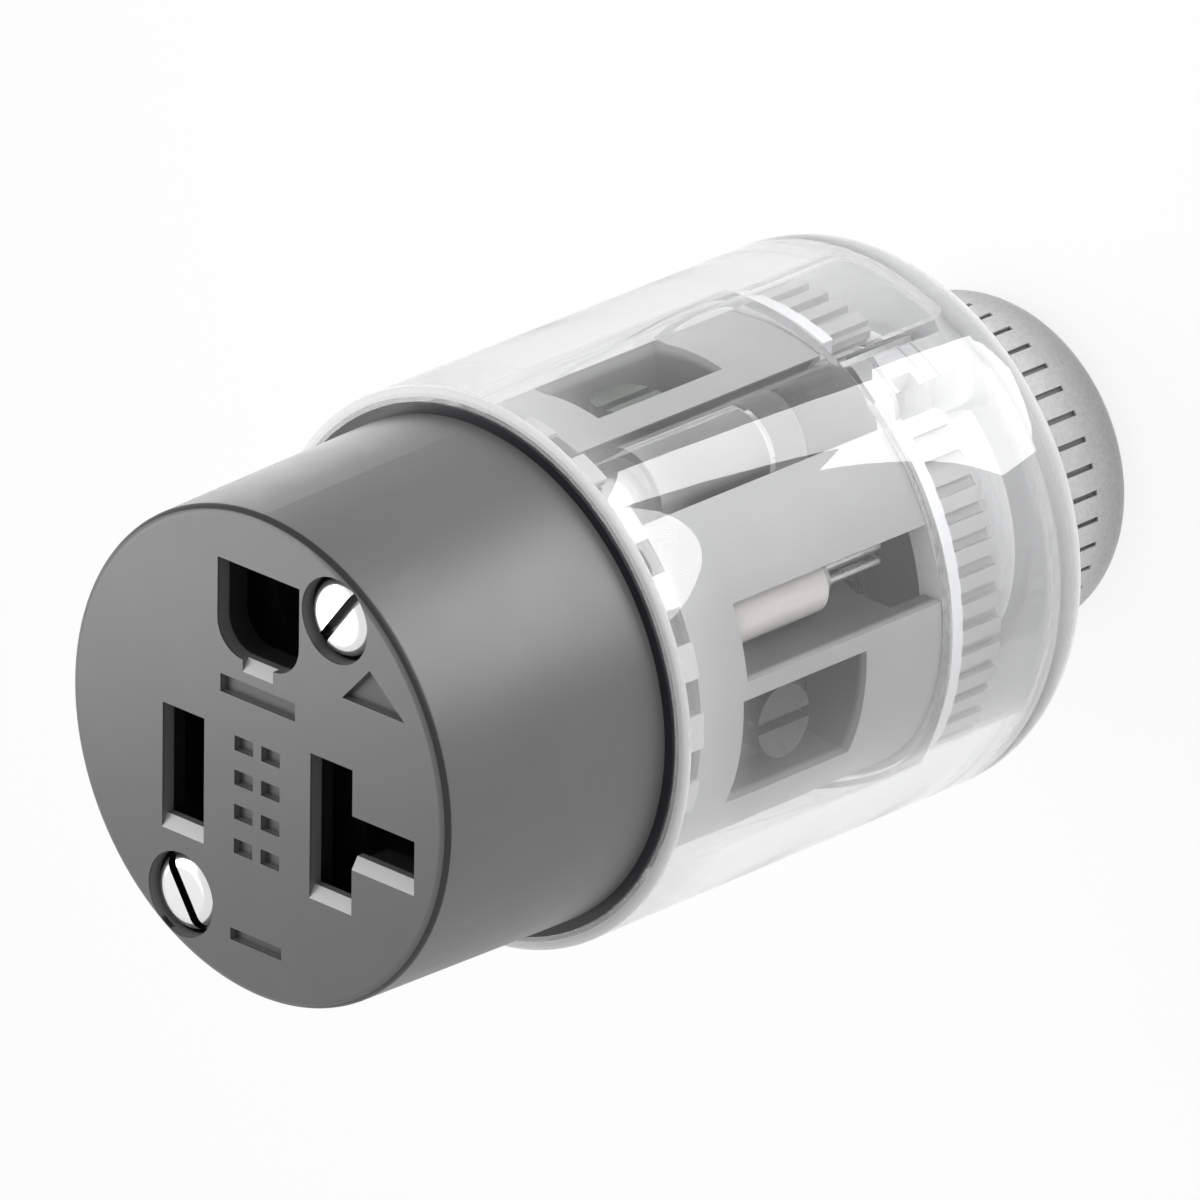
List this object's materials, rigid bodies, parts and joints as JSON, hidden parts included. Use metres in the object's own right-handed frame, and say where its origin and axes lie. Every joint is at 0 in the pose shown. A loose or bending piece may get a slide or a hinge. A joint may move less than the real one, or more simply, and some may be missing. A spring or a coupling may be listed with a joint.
{
  "type": "lighted cord connector",
  "caption": "Round female cord connector: gray T-slot face, dark gasket ring, clear lamp-lit back body showing its terminals, and a ribbed domed cord-grip nut that screws along the axis.",
  "frame": {"origin": "centre of the grip nut's flat end, on the floor that the connector stands on", "axes": "+Z along the connector's axis, out of the slotted face; +X towards the ground hole; the T-slot is on the -Y side"},
  "size_m": [0.0362, 0.0362, 0.068],
  "materials": {
    "housing_gray": "satin moulded nylon",
    "gasket_black": "smooth dark rubber",
    "clear_body": "clear polished polycarbonate",
    "carrier_gray": "light gray moulded nylon",
    "cap_gray": "light gray moulded nylon",
    "contact_brass": "rolled brass",
    "contact_nickel": "nickel-plated brass",
    "clamp_steel": "zinc-plated steel",
    "screw_brass": "turned brass",
    "screw_steel": "nickel-plated steel",
    "screw_green": "green dyed steel",
    "lamp_glass": "clear glass bulb",
    "lead_tinned": "tinned wire",
    "resistor_body": "lacquered body",
    "screw_bright": "bright nickel plate",
    "insert_steel": "dark plated steel",
    "collet_white": "white moulded nylon",
    "grommet_rubber": "soft gray rubber",
    "slip_white": "white acetal",
    "nut_smoke": "smoky translucent nylon"
  },
  "bodies": {
    "shell": {"front_housing": "housing_gray", "body_gasket": "gasket_black", "back_body": "clear_body", "contact_carrier": "carrier_gray", "terminal_cap": "cap_gray", "hot_contact": "contact_brass", "neutral_contact": "contact_nickel", "ground_contact": "contact_brass", "hot_clamp_plate": "clamp_steel", "neutral_clamp_plate": "clamp_steel", "ground_clamp_plate": "clamp_steel", "hot_terminal_screw": "screw_brass", "neutral_terminal_screw": "screw_steel", "ground_terminal_screw": "screw_green", "indicator_lamp": "lamp_glass", "lamp_lead_neutral": "lead_tinned", "lamp_lead_hot": "lead_tinned", "lamp_resistor": "resistor_body", "resistor_lead": "lead_tinned", "assembly_screws": "screw_bright", "threaded_inserts": "insert_steel", "grip_collet": "collet_white", "cord_grommet": "grommet_rubber"},
    "slip_ring": {"slip_ring": "slip_white"},
    "grip_nut": {"grip_nut": "nut_smoke"}
  },
  "joints": [
    {"name": "nut_travel", "type": "slide", "parent": "shell", "child": "slip_ring", "axis": [0, 0, -1], "range_m": [0, 0.003]},
    {"name": "nut_turn", "type": "hinge", "parent": "slip_ring", "child": "grip_nut", "pos_m": [0, 0, 0.0035], "axis": [0, 0, -1], "range_deg": [0, 720]}
  ],
  "couplings": [
    {"joint": "nut_travel", "follows": "nut_turn", "m_per_rad": 0.00023873}
  ]
}
